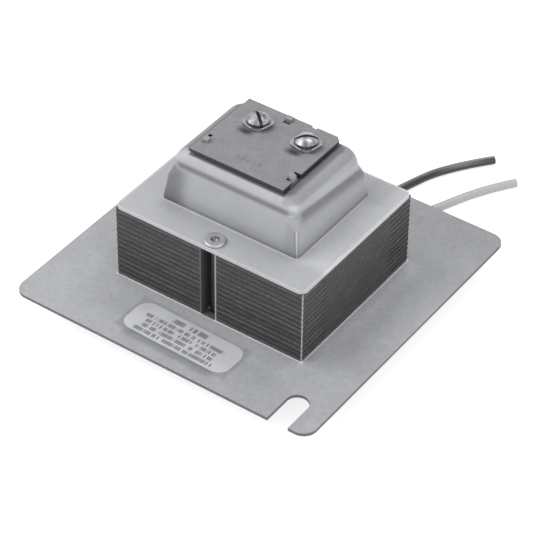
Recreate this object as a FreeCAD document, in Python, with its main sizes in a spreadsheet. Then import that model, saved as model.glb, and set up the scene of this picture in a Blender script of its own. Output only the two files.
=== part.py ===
import FreeCAD, Part
import math
import os
import re
import Sketcher

# A small laminated transformer riveted to a square cover plate, with a drawn end bell,
# a screw terminal board on top and two lead wires at the rear.
# The origin is the centre of the plate's underside, which is the mounting face. Z points up,
# X runs along the front edge and Y runs towards the rear.

V = FreeCAD.Vector
doc = FreeCAD.newDocument("chassis_transformer")

# Driving dimensions in millimetres, and angles in degrees.
SIZES = {
    # Mounting plate
    "plate_length": 106.4,
    "plate_width": 106.4,
    "plate_thickness": 1.2,
    "plate_corner_radius": 4.4,
    "plate_edge_radius": 0.2,
    "slot_width": 7.0,
    "slot_offset_x": 42.9,
    "slot_offset_y": 43.5,
    # Nameplate
    "label_length": 38.1,
    "label_width": 12.7,
    "label_thickness": 0.12,
    "label_corner_radius": 4.0,
    "label_offset_x": 0.35,
    "label_offset_y": 0.59,
    "label_angle": -1.4,
    # Core
    "core_offset_x": 0.8,
    "core_offset_y": -1.1,
    "tongue_width": 22.225,
    "stack_height": 25.4,
    "layer_count": 28,
    "yoke_recess": 0.1,
    "notch_width": 4.9,
    # Core rivets
    "rivet_inset": 3.7,
    "rivet_radius": 1.5,
    "rivet_hole_clearance": 0.05,
    "rivet_head_radius": 3.3,
    "rivet_head_height": 0.9,
    "rivet_head_edge": 0.5,
    "rivet_dimple_radius": 1.3,
    "rivet_dimple_depth": 1.1,
    "rivet_tail_flare": 0.9,
    "rivet_bore_radius": 0.9,
    "rivet_bore_depth": 2.4,
    # Coil on the core's middle leg
    "leg_clearance": 0.3,
    "tube_wall": 0.8,
    "tube_corner_radius": 0.6,
    "tube_end_clearance": 0.45,
    "insulation_build": 0.5,
    "wrap_build": 0.5,
    "secondary_share": 0.51,
    "coil_side_clearance": 0.8125,
    "paper_margin": 1.5,
    "winding_margin": 2.5,
    "coil_plate_clearance": 0.6,
    # End bell
    "bell_wall": 0.8,
    "bell_overhang": 0.3,
    "bell_flange_radius": 2.4,
    "bell_offset_x": -0.35,
    "bell_offset_y": 1.5,
    "bell_side_room": 2.1,
    "bell_end_room": 1.65,
    "terminal_room": 8.3,
    "bell_draft": 0.132,
    "skirt_share": 0.5,
    "skirt_corner_radius": 1.5,
    "dome_corner_radius": 4.6,
    "roof_corner_radius": 3.2,
    "side_bend_radius": 6.0,
    "front_bend_radius": 4.3,
    "bell_foot_radius": 0.5,
    # Terminal board and the three lugs that hold it
    "board_length": 33.0,
    "board_width": 29.6,
    "board_thickness": 1.0,
    "board_gap": 0.8,
    "board_offset_x": -0.05,
    "board_offset_y": -0.25,
    "board_corner_chamfer": 1.4,
    "board_notch_x": 7.1,
    "board_notch_width": 1.8,
    "board_notch_depth": 0.7,
    "lug_width": 2.1,
    "lug_shoulder": 0.9,
    "lug_reach": 1.1,
    "lug_tip_rise": 0.9,
    "lug_clearance": 0.15,
    "lug_slot_spare": 1.9,
    "left_lug_inset": 1.2,
    "right_lug_inset": 0.4,
    "side_lug_y": -9.3,
    "rear_lug_x": -0.8,
    # Terminals
    "terminal_spacing": 17.0,
    "terminal_offset_x": 1.1,
    "terminal_offset_y": 6.6,
    "screw_radius": 1.75,
    "screw_hole_clearance": 0.1,
    "screw_thread_clearance": 0.02,
    "screw_length": 7.5,
    "screw_head_radius": 3.5,
    "screw_point_chamfer": 0.4,
    "screw_head_rim": 0.9,
    "screw_head_height": 2.3,
    "screw_slot_width": 1.0,
    "screw_slot_depth": 1.1,
    "left_slot_angle": -40.0,
    "right_slot_angle": 38.6,
    "washer_size": 8.0,
    "washer_thickness": 0.7,
    "washer_corner_radius": 2.4,
    "washer_hole_radius": 1.9,
    "washer_ear_width": 4.4,
    "washer_ear_height": 0.8,
    "washer_ear_lean": 0.8,
    "washer_ear_wall": 0.5,
    "left_washer_angle": -16.0,
    "right_washer_angle": -11.0,
    "strap_length": 7.0,
    "strap_front": 3.4,
    "strap_thickness": 0.8,
    "strap_tail_width": 4.0,
    "strap_tail_drop": 6.2,
    "roof_window_margin": 1.1,
    # Secondary wires, sleeves and leads
    "wire_diameter": 1.4,
    "wire_clearance": 0.05,
    "wire_end_gap": 0.4,
    "lead_diameter": 2.8,
    "sleeve_wall": 0.45,
    "sleeve_length": 8.5,
    "lead_straight_run": 6.0,
    "black_lead_x": -1.0,
    "white_lead_x": 9.0,
}

sheet = doc.addObject("Spreadsheet::Sheet", "sizes")
for row, (alias, size) in enumerate(SIZES.items(), 1):
    sheet.set(f"A{row}", alias)
    sheet.set(f"B{row}", str(size))
    sheet.setAlias(f"B{row}", alias)
doc.recompute()


def bound(text):
    """The same expression with every size read from the sheet."""
    return re.sub(r"[a-z][a-z_]+", lambda word: ("sizes." + word[0]) if word[0] in SIZES else word[0], text)


def value(text):
    return float(sheet.evalExpression(bound(text)))


def bind(item, prop, text):
    item.setExpression(prop, bound(text))


# Heights and lengths that several pieces share, worked out from the sizes.
CORE_HALF_X = "(1.5 * tongue_width)"
CORE_HALF_Y = "(1.25 * tongue_width)"
YOKE = "(0.5 * tongue_width)"
LAYER = "(stack_height / layer_count)"
CORE_BOTTOM = "plate_thickness"
CORE_TOP = f"({CORE_BOTTOM} + stack_height)"
RIVET_Y = f"({CORE_HALF_Y} - rivet_inset)"
RIVET_HOLE = "(rivet_radius + rivet_hole_clearance)"
FLANGE_TOP = f"({CORE_TOP} + bell_wall)"
# The coil fills the core's windows but for its clearances.
LINERS = "(leg_clearance + tube_wall + insulation_build + wrap_build + coil_side_clearance)"
WINDING_BUILD = f"(0.5 * tongue_width - {LINERS})"
TUBE_OUT = "tube_wall"
SECONDARY_OUT = f"({TUBE_OUT} + secondary_share * {WINDING_BUILD})"
INSULATION_OUT = f"({SECONDARY_OUT} + insulation_build)"
PRIMARY_OUT = f"({INSULATION_OUT} + (1 - secondary_share) * {WINDING_BUILD})"
COIL_OUT = f"({PRIMARY_OUT} + wrap_build)"
TUBE_LENGTH = "(1.5 * tongue_width - 2 * tube_end_clearance)"
PAPER_LENGTH = f"({TUBE_LENGTH} - 2 * paper_margin)"
WINDING_LENGTH = f"({PAPER_LENGTH} - 2 * winding_margin)"
BORE_HALF_X = "(0.5 * tongue_width + leg_clearance)"
BORE_HALF_Z = "(0.5 * stack_height + leg_clearance)"
COIL_Z = f"({CORE_BOTTOM} + 0.5 * stack_height)"
COIL_BOTTOM = f"({COIL_Z} - {BORE_HALF_Z} - {COIL_OUT})"
COIL_TOP = f"({COIL_Z} + {BORE_HALF_Z} + {COIL_OUT})"
WINDING_REAR = f"(core_offset_y + 0.5 * {WINDING_LENGTH})"
# The bell clears the coil, and its rise leaves room for the terminals above it.
BELL_X = "(core_offset_x + bell_offset_x)"
BELL_Y = "(core_offset_y + bell_offset_y)"
BELL_HALF_X = f"({BORE_HALF_X} + {COIL_OUT} + bell_wall + bell_side_room)"
BELL_HALF_Y = f"(0.5 * {TUBE_LENGTH} + bell_wall + bell_end_room)"
BELL_RISE = f"({COIL_TOP} - {FLANGE_TOP} + terminal_room)"
SKIRT_RISE = f"(skirt_share * {BELL_RISE})"
SIDE_BEND_FOOT = f"({BELL_RISE} - side_bend_radius)"
ROOF_HALF_X = f"({BELL_HALF_X} - bell_draft * {SIDE_BEND_FOOT} - side_bend_radius)"
ROOF_TOP = f"({FLANGE_TOP} + {BELL_RISE})"
BOARD_BOTTOM = f"({ROOF_TOP} + board_gap)"
BOARD_TOP = f"({BOARD_BOTTOM} + board_thickness)"
WASHER_TOP = f"({BOARD_TOP} + washer_thickness)"
BOARD_X = f"({BELL_X} + board_offset_x)"
BOARD_Y = f"({BELL_Y} + board_offset_y)"
TERMINAL_Y = f"({BOARD_Y} + terminal_offset_y)"
# A terminal strap ends above the end of the windings, where its wire comes up.
STRAP_REAR = f"({WINDING_REAR} - {TERMINAL_Y})"
# Places on the bell, measured from the middle of its open side.
BELL_ROOF = f"(bell_wall + {BELL_RISE})"
BELL_BOARD = f"({BELL_ROOF} + board_gap)"
BELL_BOARD_TOP = f"({BELL_BOARD} + board_thickness)"
BELL_TERMINAL_Y = "(board_offset_y + terminal_offset_y)"
ROOF_WINDOW_REAR = f"({BELL_TERMINAL_Y} + {STRAP_REAR} + roof_window_margin)"
LEFT_LUG = f"(left_lug_inset - {ROOF_HALF_X})"
RIGHT_LUG = f"({ROOF_HALF_X} - right_lug_inset)"


def terminal_x(side):
    return f"({BOARD_X} + terminal_offset_x + {side} * 0.5 * terminal_spacing)"



# Sketches and features.


def new_body(label, x="0", y="0", z="0", angle=None):
    body = doc.addObject("PartDesign::Body", label)
    body.Label = label
    bind(body, ".Placement.Base.x", x)
    bind(body, ".Placement.Base.y", y)
    bind(body, ".Placement.Base.z", z)
    if angle is not None:
        body.Placement = FreeCAD.Placement(V(0, 0, 0), FreeCAD.Rotation(V(0, 0, 1), 1))
        bind(body, ".Placement.Rotation.Angle", angle)
    return body


def new_sketch(body, name, role="XY_Plane", offset="0"):
    """A sketch on one of the body's own planes, moved along that plane's normal."""
    drawing = body.newObject("Sketcher::SketchObject", name)
    plane = next(item for item in body.Origin.OriginFeatures if item.Role == role)
    drawing.AttachmentSupport = [(plane, "")]
    drawing.MapMode = "FlatFace"
    bind(drawing, "AttachmentOffset.Base.z", offset)
    return drawing


def hold(drawing, kind, geometry, point, text):
    """Holds one point of the sketch at a bound distance from the sketch's origin."""
    spot = Sketcher.Constraint(kind, -1, 1, geometry, point, value(text))
    index = drawing.addConstraint(spot)
    bind(drawing, f"Constraints[{index}]", text)


def outline(drawing, corners, arcs=None):
    """A closed outline through the corners. An arc starts at the corner whose number it has:
    its entry is the centre's x and y and +1 for an arc that turns left or -1 for one that turns right."""
    arcs = arcs or {}
    spots = [V(value(x), value(y), 0) for x, y in corners]
    ends = []
    for number, start in enumerate(spots):
        finish = spots[(number + 1) % len(spots)]
        if number not in arcs:
            ends.append((drawing.addGeometry(Part.LineSegment(start, finish), False), 1, 2))
            continue
        centre_x, centre_y, turn = arcs[number]
        centre = V(value(centre_x), value(centre_y), 0)
        first, last = (start, finish) if turn > 0 else (finish, start)
        first_angle = math.atan2(first.y - centre.y, first.x - centre.x)
        last_angle = math.atan2(last.y - centre.y, last.x - centre.x)
        if last_angle <= first_angle:
            last_angle += 2 * math.pi
        circle = Part.Circle(centre, V(0, 0, 1), (first - centre).Length)
        arc = drawing.addGeometry(Part.ArcOfCircle(circle, first_angle, last_angle), False)
        ends.append((arc, 1, 2) if turn > 0 else (arc, 2, 1))
    for number, (geometry, _, finish) in enumerate(ends):
        after, start, _ = ends[(number + 1) % len(ends)]
        drawing.addConstraint(Sketcher.Constraint("Coincident", geometry, finish, after, start))
    for (geometry, start, _), (x, y) in zip(ends, corners):
        hold(drawing, "DistanceX", geometry, start, x)
        hold(drawing, "DistanceY", geometry, start, y)
    for number, (_, centre_y, _) in arcs.items():
        hold(drawing, "DistanceY", ends[number][0], 3, centre_y)


def rectangle(drawing, half_x, half_y, x="0", y="0"):
    left, right = f"{x} - {half_x}", f"{x} + {half_x}"
    low, high = f"{y} - {half_y}", f"{y} + {half_y}"
    outline(drawing, [(left, low), (right, low), (right, high), (left, high)])


def rounded_rectangle(drawing, half_x, half_y, radius):
    inner_x, inner_y = f"({half_x} - {radius})", f"({half_y} - {radius})"
    corners = []
    arcs = {}
    for across, along in ((1, -1), (1, 1), (-1, 1), (-1, -1)):
        near_x = (f"{across} * {half_x}", f"{along} * {inner_y}")
        near_y = (f"{across} * {inner_x}", f"{along} * {half_y}")
        corners += [near_y, near_x] if across * along < 0 else [near_x, near_y]
        arcs[len(corners) - 2] = (f"{across} * {inner_x}", f"{along} * {inner_y}", 1)
    outline(drawing, corners, arcs)


def circle(drawing, radius, x="0", y="0"):
    centre = V(value(x), value(y), 0)
    number = drawing.addGeometry(Part.Circle(centre, V(0, 0, 1), value(radius)), False)
    hold(drawing, "DistanceX", number, 3, x)
    hold(drawing, "DistanceY", number, 3, y)
    index = drawing.addConstraint(Sketcher.Constraint("Radius", number, value(radius)))
    bind(drawing, f"Constraints[{index}]", radius)


def extrude(body, kind, drawing, length, both_ways=False, backwards=False):
    feature = body.newObject(f"PartDesign::{kind}", f"{drawing.Name}_{kind.lower()}")
    feature.Profile = drawing
    feature.SideType = "Symmetric" if both_ways else "One side"
    feature.Reversed = backwards
    bind(feature, "Length", length)
    return feature


def pad(body, drawing, length, **options):
    return extrude(body, "Pad", drawing, length, **options)


def cut_up(body, drawing, depth):
    """Removes what lies above the sketch, to the given depth."""
    return extrude(body, "Pocket", drawing, depth, backwards=True)


def cut_both_ways(body, drawing, depth):
    return extrude(body, "Pocket", drawing, depth, both_ways=True)


def revolve(body, drawing):
    feature = body.newObject("PartDesign::Revolution", f"{drawing.Name}_turned")
    feature.Profile = drawing
    feature.ReferenceAxis = (drawing, ["V_Axis"])
    feature.Angle = 360
    return feature


def loft(body, kind, sections, ruled):
    feature = body.newObject(f"PartDesign::{kind}", f"{sections[0].Name}_loft")
    feature.Profile = sections[0]
    feature.Sections = sections[1:]
    feature.Ruled = ruled
    return feature


def edge_feature(body, kind, prop, size, choose):
    """A fillet or chamfer on the edges of the body that choose picks."""
    doc.recompute()
    base = body.Tip
    names = [f"Edge{number}" for number, edge in enumerate(base.Shape.Edges, 1) if choose(edge)]
    feature = body.newObject(f"PartDesign::{kind}", f"{body.Name}_{kind.lower()}_{len(body.Group)}")
    feature.Base = (base, names)
    bind(feature, prop, size)
    return feature


def fillet(body, radius, choose):
    return edge_feature(body, "Fillet", "Radius", radius, choose)


def chamfer(body, size, choose):
    return edge_feature(body, "Chamfer", "Size", size, choose)


def upright(edge):
    return edge.Curve.TypeId == "Part::GeomLine" and edge.BoundBox.ZLength > 1e-3 > edge.BoundBox.XLength


def at_height(edge, height):
    return abs(edge.BoundBox.ZMin - height) < 1e-4 and abs(edge.BoundBox.ZMax - height) < 1e-4


def at_corner(edge, half_x, half_y):
    spot = edge.CenterOfMass
    return abs(abs(spot.x) - half_x) < 0.01 and abs(abs(spot.y) - half_y) < 0.01


# Mounting plate, with a window for the coil's lower end and two open slots for the box screws.


def mounting_plate():
    body = new_body("mounting_plate")
    blank = new_sketch(body, "plate_blank")
    rectangle(blank, "(0.5 * plate_length)", "(0.5 * plate_width)")
    pad(body, blank, "plate_thickness")
    half_x, half_y = value("0.5 * plate_length"), value("0.5 * plate_width")
    fillet(body, "plate_corner_radius", lambda edge: upright(edge) and at_corner(edge, half_x, half_y))
    for name, side in (("front_slot", 1), ("rear_slot", -1)):
        slot = new_sketch(body, name)
        left = f"{side} * slot_offset_x - 0.5 * slot_width"
        right = f"{side} * slot_offset_x + 0.5 * slot_width"
        outside = f"{-side} * (0.5 * plate_width + slot_width)"
        inside = f"{-side} * slot_offset_y"
        end = {2: (f"{side} * slot_offset_x", inside, 1)}
        if side > 0:
            outline(slot, [(left, outside), (right, outside), (right, inside), (left, inside)], end)
        else:
            outline(slot, [(right, outside), (left, outside), (left, inside), (right, inside)], end)
        cut_up(body, slot, "plate_thickness")
    window = new_sketch(body, "coil_window")
    window_half_x = f"({BORE_HALF_X} + {COIL_OUT} + coil_plate_clearance)"
    window_half_y = f"(0.5 * {TUBE_LENGTH} + coil_plate_clearance)"
    rectangle(window, window_half_x, window_half_y, "core_offset_x", "core_offset_y")
    cut_up(body, window, "plate_thickness")
    for name, side in (("front_rivet_hole", -1), ("rear_rivet_hole", 1)):
        hole = new_sketch(body, name)
        circle(hole, RIVET_HOLE, "core_offset_x", f"core_offset_y + {side} * {RIVET_Y}")
        cut_up(body, hole, "plate_thickness")
    hole_radius = value(RIVET_HOLE)
    chamfer(
        body,
        "rivet_tail_flare",
        lambda edge: at_height(edge, 0) and edge.Curve.TypeId == "Part::GeomCircle"
        and abs(edge.Curve.Radius - hole_radius) < 1e-4,
    )
    top = value("plate_thickness")
    fillet(body, "plate_edge_radius", lambda edge: at_height(edge, top) and on_rim(edge, half_x, half_y))


def on_rim(edge, half_x, half_y):
    """True for the plate's outer edges and its slots, and false for its window and rivet holes."""
    box = edge.BoundBox
    reach_x = max(abs(box.XMin), abs(box.XMax))
    reach_y = max(abs(box.YMin), abs(box.YMax))
    return reach_x > half_x - 0.01 or reach_y > half_y - 0.01 or reach_y > value("slot_offset_y - slot_width")


def nameplate():
    """A foil label, put on slightly askew between the plate's front edge and the core."""
    y = f"(0.5 * (core_offset_y - {CORE_HALF_Y} - 0.5 * plate_width) + label_offset_y)"
    body = new_body("nameplate", "label_offset_x", y, "plate_thickness", "label_angle")
    face = new_sketch(body, "label_face")
    rounded_rectangle(face, "(0.5 * label_length)", "(0.5 * label_width)", "label_corner_radius")
    pad(body, face, "label_thickness")


# Core. Each layer is an E and an I that closes it. The layers lie with the E's back at the front and
# at the rear in turn, and the I lies a little inside the E's outline, which rules the core's sides.


def free_sketch(name):
    return doc.addObject("Sketcher::SketchObject", name)


def notch_corners(across):
    """The clamp notch in an outline that runs from -x to +x along the front."""
    edge = f"-{CORE_HALF_Y} + {across}"
    return [
        ("-0.5 * notch_width", edge),
        ("-0.5 * notch_width", f"-{RIVET_Y}"),
        ("0.5 * notch_width", f"-{RIVET_Y}"),
        ("0.5 * notch_width", edge),
    ]


def e_outline():
    drawing = free_sketch("e_outline")
    leg, inner, tongue = CORE_HALF_X, "tongue_width", "(0.5 * tongue_width)"
    back, root, tip = f"-{CORE_HALF_Y}", f"-({CORE_HALF_Y} - {YOKE})", f"({CORE_HALF_Y} - {YOKE})"
    corners = [(f"-{leg}", back)] + notch_corners("0")
    corners += [(leg, back), (leg, tip), (inner, tip), (inner, root), (tongue, root), (tongue, tip)]
    corners += [(f"-{tongue}", tip), (f"-{tongue}", root), (f"-{inner}", root), (f"-{inner}", tip)]
    corners += [(f"-{leg}", tip)]
    outline(drawing, corners, {2: ("0", f"-{RIVET_Y}", -1)})
    return drawing


def i_outline():
    drawing = free_sketch("i_outline")
    half, root = f"({CORE_HALF_X} - yoke_recess)", f"-({CORE_HALF_Y} - {YOKE})"
    back = f"-{CORE_HALF_Y} + yoke_recess"
    corners = [(f"-{half}", back)] + notch_corners("yoke_recess")
    corners += [(half, back), (half, root), (f"-{half}", root)]
    outline(drawing, corners, {2: ("0", f"-{RIVET_Y}", -1)})
    return drawing


def lamination(drawing, name, layer, turned):
    """One stamping in its layer. A turned one has its back at the rear."""
    sheet_steel = doc.addObject("Part::Extrusion", name)
    sheet_steel.Base = drawing
    sheet_steel.DirMode = "Normal"
    sheet_steel.Solid = True
    bind(sheet_steel, "LengthFwd", LAYER)
    if turned:
        sheet_steel.Placement = FreeCAD.Placement(V(0, 0, 0), FreeCAD.Rotation(V(0, 0, 1), 180))
    bind(sheet_steel, ".Placement.Base.x", "core_offset_x")
    bind(sheet_steel, ".Placement.Base.y", "core_offset_y")
    bind(sheet_steel, ".Placement.Base.z", f"{CORE_BOTTOM} + {layer} * {LAYER}")
    return sheet_steel


def core():
    """Every E is a node of its own, and the I pieces of each yoke share one."""
    e_shape, i_shape = e_outline(), i_outline()
    closers = {"front": [], "rear": []}
    labels = []
    for layer in range(int(value("layer_count"))):
        backs_rear = layer % 2 == 1
        name = f"e_lamination_{layer + 1:02d}"
        lamination(e_shape, name, layer, backs_rear).Label = name
        labels.append(name)
        side = "front" if backs_rear else "rear"
        closers[side].append(lamination(i_shape, f"i_{side}_{layer + 1:02d}", layer, side == "rear"))
    for side, pieces in closers.items():
        group = doc.addObject("Part::Compound", f"i_laminations_{side}")
        group.Label = group.Name
        group.Links = pieces
        labels.append(group.Label)
    return labels


# Rivets with a dished head on the bell's flange and a hollow tail that is flared flush in the plate.


def core_rivet(side, along):
    body = new_body(f"core_rivet_{side}", "core_offset_x", f"core_offset_y + {along} * {RIVET_Y}")
    profile = new_sketch(body, f"rivet_{side}_profile", "XZ_Plane")
    flush = "rivet_hole_clearance"
    top = f"({FLANGE_TOP} + rivet_head_height)"
    dimple = "((rivet_dimple_radius ^ 2 + rivet_dimple_depth ^ 2) / (2 * rivet_dimple_depth))"
    corners = [
        ("0", "rivet_bore_depth"),
        ("rivet_bore_radius", "rivet_bore_depth"),
        ("rivet_bore_radius", "rivet_tail_flare"),
        ("rivet_bore_radius + 0.6 * rivet_tail_flare", flush),
        ("rivet_radius + rivet_tail_flare - rivet_hole_clearance", flush),
        ("rivet_radius", "rivet_tail_flare"),
        ("rivet_radius", FLANGE_TOP),
        ("rivet_head_radius", FLANGE_TOP),
        ("rivet_head_radius", f"{top} - rivet_head_edge"),
        ("rivet_head_radius - rivet_head_edge", top),
        ("rivet_dimple_radius", top),
        ("0", f"{top} - rivet_dimple_depth"),
    ]
    rounds = {
        8: ("rivet_head_radius - rivet_head_edge", f"{top} - rivet_head_edge", 1),
        10: ("0", f"{top} - rivet_dimple_depth + {dimple}", -1),
    }
    outline(profile, corners, rounds)
    revolve(body, profile)


# Coil, wound on a tube round the middle leg. Its layers are rings with round corners, and the
# windings stop short of the paper at each end.


def coil_ring(label, inside, outside, length):
    body = new_body(label, "core_offset_x", "core_offset_y", COIL_Z)
    ring = new_sketch(body, f"{label}_section", "XZ_Plane")
    for offset, least in ((outside, "tube_corner_radius"), (inside, "0.5 * tube_corner_radius")):
        half_x, half_z = f"({BORE_HALF_X} + {offset})", f"({BORE_HALF_Z} + {offset})"
        rounded_rectangle(ring, half_x, half_z, f"({offset} + {least})")
    pad(body, ring, length, both_ways=True)
    return body


def coil():
    coil_ring("coil_tube", "0", TUBE_OUT, TUBE_LENGTH)
    coil_ring("secondary_winding", TUBE_OUT, SECONDARY_OUT, WINDING_LENGTH)
    insulation = coil_ring("interwinding_insulation", SECONDARY_OUT, INSULATION_OUT, PAPER_LENGTH)
    coil_ring("primary_winding", INSULATION_OUT, PRIMARY_OUT, WINDING_LENGTH)
    wrap = coil_ring("coil_wrap", PRIMARY_OUT, COIL_OUT, PAPER_LENGTH)
    for body in (insulation, wrap):
        slits = new_sketch(body, f"{body.Name}_wire_slits")
        half = "(0.5 * wire_diameter + wire_clearance)"
        low, high = f"0.5 * {WINDING_LENGTH}", f"0.5 * {PAPER_LENGTH} + wire_diameter"
        for side in (-1, 1):
            middle = f"({terminal_x(side)} - core_offset_x)"
            left, right = f"{middle} - {half}", f"{middle} + {half}"
            outline(slits, [(left, low), (right, low), (right, high), (left, high)])
        cut_up(body, slits, f"{BORE_HALF_Z} + {COIL_OUT} + wire_diameter")


# End bell: one drawn sheet. A flat flange lies on the core, and a skirt rises from it with sharp
# corners that grow rounder towards the dome, which bends over into the roof that carries the board.

DOME_ANGLES = (0, 20, 40, 60, 78, 90)


def wall_section(body, name, height, corner, wall):
    """A level cut through the bell's straight drafted walls."""
    drawing = new_sketch(body, name, offset=f"bell_wall + {height}")
    inset = f"({wall} + bell_draft * {height})"
    rounded_rectangle(drawing, f"({BELL_HALF_X} - {inset})", f"({BELL_HALF_Y} - {inset})", corner)
    return drawing


def dome_section(body, name, angle, wall):
    """A level cut through the dome where the long side's bend has turned by the angle."""
    side_radius, front_radius = f"(side_bend_radius - {wall})", f"(front_bend_radius - {wall})"
    front_foot = f"({BELL_RISE} - front_bend_radius)"
    height = f"({SIDE_BEND_FOOT} + {side_radius} * sin({angle} deg))"
    above = f"max(0; {height} - {front_foot})"
    side_inset = f"(bell_draft * {SIDE_BEND_FOOT} + {side_radius} * (1 - cos({angle} deg)))"
    bend = f"{front_radius} - sqrt(max(0; {front_radius} ^ 2 - ({above}) ^ 2))"
    front_inset = f"(bell_draft * min({height}; {front_foot}) + {bend})"
    corner = f"(dome_corner_radius + (roof_corner_radius - dome_corner_radius) * {angle} / 90 - {wall})"
    drawing = new_sketch(body, name, offset=f"bell_wall + {height}")
    half_x = f"({BELL_HALF_X} - {wall} - {side_inset})"
    half_y = f"({BELL_HALF_Y} - {wall} - {front_inset})"
    rounded_rectangle(drawing, half_x, half_y, corner)
    return drawing


def bell_form(body, kind, name, wall):
    """The skirt and the dome, as solid forms of the bell's outside or of its hollow."""
    corner = f"(skirt_corner_radius - 0.8 * {wall})"
    dome = [dome_section(body, f"{name}_dome_{angle:02d}", angle, wall) for angle in DOME_ANGLES]
    skirt = [
        wall_section(body, f"{name}_foot", "0", corner, wall),
        wall_section(body, f"{name}_skirt_top", SKIRT_RISE, corner, wall),
        dome[0],
    ]
    loft(body, kind, skirt, True)
    loft(body, kind, dome, False)


def top_bell():
    body = new_body("top_bell", BELL_X, BELL_Y, CORE_TOP)
    flange = new_sketch(body, "bell_flange")
    bind(flange, "AttachmentOffset.Base.x", "-bell_offset_x")
    bind(flange, "AttachmentOffset.Base.y", "-bell_offset_y")
    half_x, half_y = f"({CORE_HALF_X} + bell_overhang)", f"({CORE_HALF_Y} + bell_overhang)"
    rounded_rectangle(flange, half_x, half_y, "bell_flange_radius")
    pad(body, flange, "bell_wall")
    bell_form(body, "AdditiveLoft", "outside", "0")
    foot_x, foot_y = value(BELL_HALF_X), value(BELL_HALF_Y)
    flange_top = value("bell_wall")
    fillet(
        body,
        "bell_foot_radius",
        lambda edge: at_height(edge, flange_top) and abs(edge.CenterOfMass.x) < foot_x + 0.1
        and abs(edge.CenterOfMass.y) < foot_y + 0.1,
    )
    mouth = new_sketch(body, "bell_mouth")
    rounded_rectangle(mouth, f"({BELL_HALF_X} - bell_wall)", f"({BELL_HALF_Y} - bell_wall)",
                      "(skirt_corner_radius - 0.8 * bell_wall)")
    cut_up(body, mouth, "bell_wall")
    bell_form(body, "SubtractiveLoft", "hollow", "bell_wall")
    for side in (-1, 1):
        hole = new_sketch(body, f"bell_rivet_hole_{'front' if side < 0 else 'rear'}")
        circle(hole, RIVET_HOLE, "-bell_offset_x", f"{side} * {RIVET_Y} - bell_offset_y")
        cut_up(body, hole, "bell_wall")
    roof_window(body)
    board_lugs(body)


def roof_window(body):
    """The opening in the roof that the terminals and their wires pass through."""
    window = new_sketch(body, "terminal_window", offset=f"{BELL_ROOF} - 2 * bell_wall")
    middle = "(board_offset_x + terminal_offset_x)"
    half_x = "(0.5 * terminal_spacing + 0.5 * strap_length + bell_wall)"
    left, right = f"{middle} - {half_x}", f"{middle} + {half_x}"
    front = f"{BELL_TERMINAL_Y} - strap_front - bell_wall"
    rear = ROOF_WINDOW_REAR
    outline(window, [(left, front), (right, front), (right, rear), (left, rear)])
    cut_up(body, window, "3 * bell_wall")


def lug(body, name, role, offset, face, towards, tip_rise):
    """A lug cut and folded up from the roof: a wide shoulder beneath the board, and a narrow tongue
    that passes it and is bent over. The tongue bends away from face, towards +1 or -1."""
    root = f"{BELL_ROOF} - 0.5 * bell_wall"
    bend = f"{BELL_BOARD_TOP} + lug_clearance + bell_wall"
    inner = f"{face} + {towards} * bell_wall"
    tip = f"{inner} + {towards} * lug_reach"
    shoulder = new_sketch(body, f"{name}_shoulder", role, offset)
    block = [(face, root), (inner, root), (inner, BELL_BOARD), (face, BELL_BOARD)]
    outline(shoulder, block if towards > 0 else block[::-1])
    pad(body, shoulder, "lug_width + 2 * lug_shoulder", both_ways=True)
    tongue = new_sketch(body, f"{name}_tongue", role, offset)
    strip = [
        (face, root),
        (inner, root),
        (inner, f"{bend} - bell_wall"),
        (tip, f"{bend} - bell_wall + {tip_rise}"),
        (tip, f"{bend} + {tip_rise}"),
        (face, bend),
    ]
    outline(tongue, strip if towards > 0 else strip[::-1])
    pad(body, tongue, "lug_width", both_ways=True)


LANCE_LENGTH = "(board_gap + board_thickness + lug_reach + 0.5 * bell_wall)"


def lance(body, name, face, inward):
    """The opening that a side lug's metal leaves in the roof, inboard of the lug."""
    slot = new_sketch(body, f"{name}_lance", offset=f"{BELL_ROOF} - 2 * bell_wall")
    middle = f"({face} + {inward} * (bell_wall + 0.5 * {LANCE_LENGTH}))"
    rectangle(slot, f"(0.5 * {LANCE_LENGTH})", "(0.5 * lug_width + lug_shoulder)", middle, "side_lug_y")
    cut_up(body, slot, "2 * bell_wall + 0.5 * board_gap")


def board_lugs(body):
    """Two side lugs that bend inwards, and one from the terminal window's rear edge that bends back."""
    lug(body, "left_lug", "XZ_Plane", "-side_lug_y", LEFT_LUG, 1, "0")
    lug(body, "right_lug", "XZ_Plane", "-side_lug_y", RIGHT_LUG, -1, "lug_tip_rise")
    lug(body, "rear_lug", "YZ_Plane", "rear_lug_x", ROOF_WINDOW_REAR, 1, "0")
    lance(body, "left_lug", LEFT_LUG, 1)
    lance(body, "right_lug", RIGHT_LUG, -1)


# Terminal board.


def board_opening(drawing, left, right, front, rear):
    """A rectangle in the board, with its sides measured from the middle of the bell."""
    left, right = f"{left} - board_offset_x", f"{right} - board_offset_x"
    front, rear = f"{front} - board_offset_y", f"{rear} - board_offset_y"
    outline(drawing, [(left, front), (right, front), (right, rear), (left, rear)])


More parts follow.
